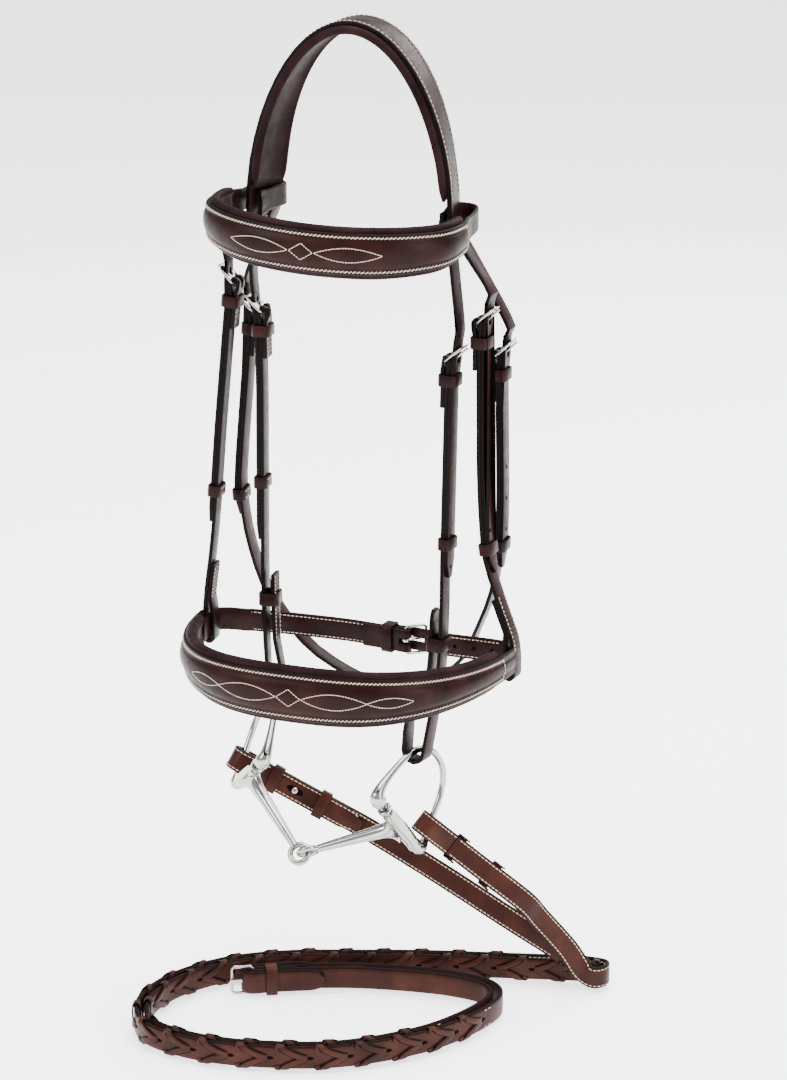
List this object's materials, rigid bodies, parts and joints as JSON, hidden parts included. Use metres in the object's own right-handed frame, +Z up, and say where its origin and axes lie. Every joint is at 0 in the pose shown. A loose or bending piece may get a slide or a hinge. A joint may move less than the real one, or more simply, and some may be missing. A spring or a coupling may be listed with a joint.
{
  "type": "snaffle bridle",
  "caption": "Leather snaffle bridle hanging as on a head: padded crown, browband and noseband, jointed bit with D cheeks, throatlatch and laced reins.",
  "frame": {"origin": "middle of the flat underside of the crown padding, where the bridle rests on the poll", "axes": "+Z up, +X towards the right side as seen from the front, -Y towards the front of the head"},
  "size_m": [0.2933, 0.2452, 0.6908],
  "materials": {
    "leather_havana": "smooth dark brown bridle leather, waxed",
    "leather_padding": "soft near-black lining leather",
    "leather_rein": "reddish brown laced rein leather",
    "stainless_steel": "bright polished stainless steel"
  },
  "bodies": {
    "bridle": {"headpiece": "leather_havana", "crown_padding": "leather_padding", "browband": "leather_havana", "browband_padding": "leather_padding", "noseband": "leather_havana", "noseband_padding": "leather_padding", "noseband_rear_left": "leather_havana", "noseband_rear_right": "leather_havana", "noseband_buckle": "stainless_steel", "noseband_keeper": "leather_havana", "noseband_hanger_left": "leather_havana", "noseband_hanger_right": "leather_havana", "cheekpiece_left": "leather_havana", "cheekpiece_right": "leather_havana", "throatlatch": "leather_havana", "cheek_buckle_left": "stainless_steel", "cheek_keeper_left": "leather_havana", "cheek_buckle_right": "stainless_steel", "cheek_keeper_right": "leather_havana", "hanger_buckle_left": "stainless_steel", "hanger_keeper_left": "leather_havana", "hanger_buckle_right": "stainless_steel", "hanger_keeper_right": "leather_havana", "throat_buckle_left": "stainless_steel", "throat_keeper_left": "leather_havana", "throat_buckle_right": "stainless_steel", "throat_keeper_right": "leather_havana", "cheek_hook_keeper_left": "leather_havana", "cheek_hook_keeper_right": "leather_havana", "rein_left": "leather_rein", "rein_left_billet": "leather_rein", "rein_left_keeper_upper": "leather_rein", "rein_left_keeper_lower": "leather_rein", "rein_left_stud": "stainless_steel", "rein_right": "leather_rein", "rein_right_billet": "leather_rein", "rein_right_keeper_upper": "leather_rein", "rein_right_keeper_lower": "leather_rein", "rein_right_stud": "stainless_steel", "rein_buckle": "stainless_steel", "rein_keeper": "leather_rein"},
    "cheek_tongue_left": {"cheek_tongue_left": "stainless_steel"},
    "cheek_tongue_right": {"cheek_tongue_right": "stainless_steel"},
    "hanger_tongue_left": {"hanger_tongue_left": "stainless_steel"},
    "hanger_tongue_right": {"hanger_tongue_right": "stainless_steel"},
    "throat_tongue_left": {"throat_tongue_left": "stainless_steel"},
    "throat_tongue_right": {"throat_tongue_right": "stainless_steel"},
    "noseband_tongue": {"noseband_tongue": "stainless_steel"},
    "rein_tongue": {"rein_tongue": "stainless_steel"},
    "cheek_runner_left": {"cheek_runner_left": "leather_havana"},
    "cheek_runner_right": {"cheek_runner_right": "leather_havana"},
    "hanger_runner_left": {"hanger_runner_left": "leather_havana"},
    "hanger_runner_right": {"hanger_runner_right": "leather_havana"},
    "throat_runner_left": {"throat_runner_left": "leather_havana"},
    "throat_runner_right": {"throat_runner_right": "leather_havana"},
    "bit_ring_left": {"bit_ring_left": "stainless_steel"},
    "bit_arm_left": {"bit_arm_left": "stainless_steel"},
    "bit_ring_right": {"bit_ring_right": "stainless_steel"},
    "bit_arm_right": {"bit_arm_right": "stainless_steel"}
  },
  "joints": [
    {"name": "cheek_tongue_left_hinge", "type": "hinge", "parent": "bridle", "child": "cheek_tongue_left", "pos_m": [-0.064, -0.009, -0.192], "axis": [0.0797, -0.9968, 0.0008], "range_deg": [0, 4.5]},
    {"name": "cheek_tongue_right_hinge", "type": "hinge", "parent": "bridle", "child": "cheek_tongue_right", "pos_m": [0.0685, -0.01, -0.214], "axis": [0.0797, 0.9968, -0.0024], "range_deg": [0, 4.5]},
    {"name": "hanger_tongue_left_hinge", "type": "hinge", "parent": "bridle", "child": "hanger_tongue_left", "pos_m": [-0.0885, 0, -0.176], "axis": [0.0789, -0.9968, -0.0081], "range_deg": [0, 4.5]},
    {"name": "hanger_tongue_right_hinge", "type": "hinge", "parent": "bridle", "child": "hanger_tongue_right", "pos_m": [0.087, 0, -0.189], "axis": [0.0797, 0.9968, -0.0001], "range_deg": [0, 4.5]},
    {"name": "throat_tongue_left_hinge", "type": "hinge", "parent": "bridle", "child": "throat_tongue_left", "pos_m": [-0.087, 0.03, -0.202], "axis": [0, -1, 0], "range_deg": [0, 4.5]},
    {"name": "throat_tongue_right_hinge", "type": "hinge", "parent": "bridle", "child": "throat_tongue_right", "pos_m": [0.0895, 0.03, -0.218], "axis": [0, 1, 0], "range_deg": [0, 4.5]},
    {"name": "noseband_tongue_hinge", "type": "hinge", "parent": "bridle", "child": "noseband_tongue", "pos_m": [0.027, 0.02, -0.426], "axis": [0, 0, 1], "range_deg": [0, 9]},
    {"name": "rein_tongue_hinge", "type": "hinge", "parent": "bridle", "child": "rein_tongue", "pos_m": [-0.065, -0.043, -0.672], "axis": [0, 0, 1], "range_deg": [0, 12]},
    {"name": "cheek_runner_left_slide", "type": "slide", "parent": "bridle", "child": "cheek_runner_left", "axis": [-0.0091, 0, -1], "range_m": [-0.004, 0.004]},
    {"name": "cheek_runner_right_slide", "type": "slide", "parent": "bridle", "child": "cheek_runner_right", "axis": [-0.016, 0.0002, -0.9999], "range_m": [-0.004, 0.004]},
    {"name": "hanger_runner_left_slide", "type": "slide", "parent": "bridle", "child": "hanger_runner_left", "axis": [-0.0907, 0, -0.9959], "range_m": [-0.004, 0.004]},
    {"name": "hanger_runner_right_slide", "type": "slide", "parent": "bridle", "child": "hanger_runner_right", "axis": [0.1364, 0, -0.9906], "range_m": [-0.004, 0.004]},
    {"name": "throat_runner_left_slide", "type": "slide", "parent": "bridle", "child": "throat_runner_left", "axis": [0.0235, 0.1021, -0.9945], "range_m": [-0.003, 0.004]},
    {"name": "throat_runner_right_slide", "type": "slide", "parent": "bridle", "child": "throat_runner_right", "axis": [-0.0645, 0.0514, -0.9966], "range_m": [-0.004, 0.004]},
    {"name": "bit_ring_left_swing", "type": "hinge", "parent": "bridle", "child": "bit_ring_left", "pos_m": [-0.05824, -0.01303, -0.46975], "axis": [-0.4701, 0.8826, 0], "range_deg": [-1.53, 1.53]},
    {"name": "bit_arm_left_turn", "type": "hinge", "parent": "bit_ring_left", "child": "bit_arm_left", "pos_m": [-0.0705, -0.033, -0.52], "axis": [-0.5772, 0.5907, -0.5638], "range_deg": [-3, 3]},
    {"name": "bit_ring_right_swing", "type": "hinge", "parent": "bridle", "child": "bit_ring_right", "pos_m": [0.05061, -0.0205, -0.48998], "axis": [0.3533, 0.9355, 0], "range_deg": [-1.06, 1.06]},
    {"name": "bit_arm_right_turn", "type": "hinge", "parent": "bit_ring_right", "child": "bit_arm_right", "pos_m": [0.044, -0.038, -0.541], "axis": [0.2302, 0.6095, -0.7586], "range_deg": [-2.4, 2.4]}
  ],
  "couplings": [
    {"joint": "bit_ring_left_swing", "follows": "bit_arm_left_turn", "ratio": -0.4938},
    {"joint": "bit_arm_right_turn", "follows": "bit_arm_left_turn", "ratio": -0.7847},
    {"joint": "bit_ring_right_swing", "follows": "bit_arm_left_turn", "ratio": 0.3362}
  ]
}
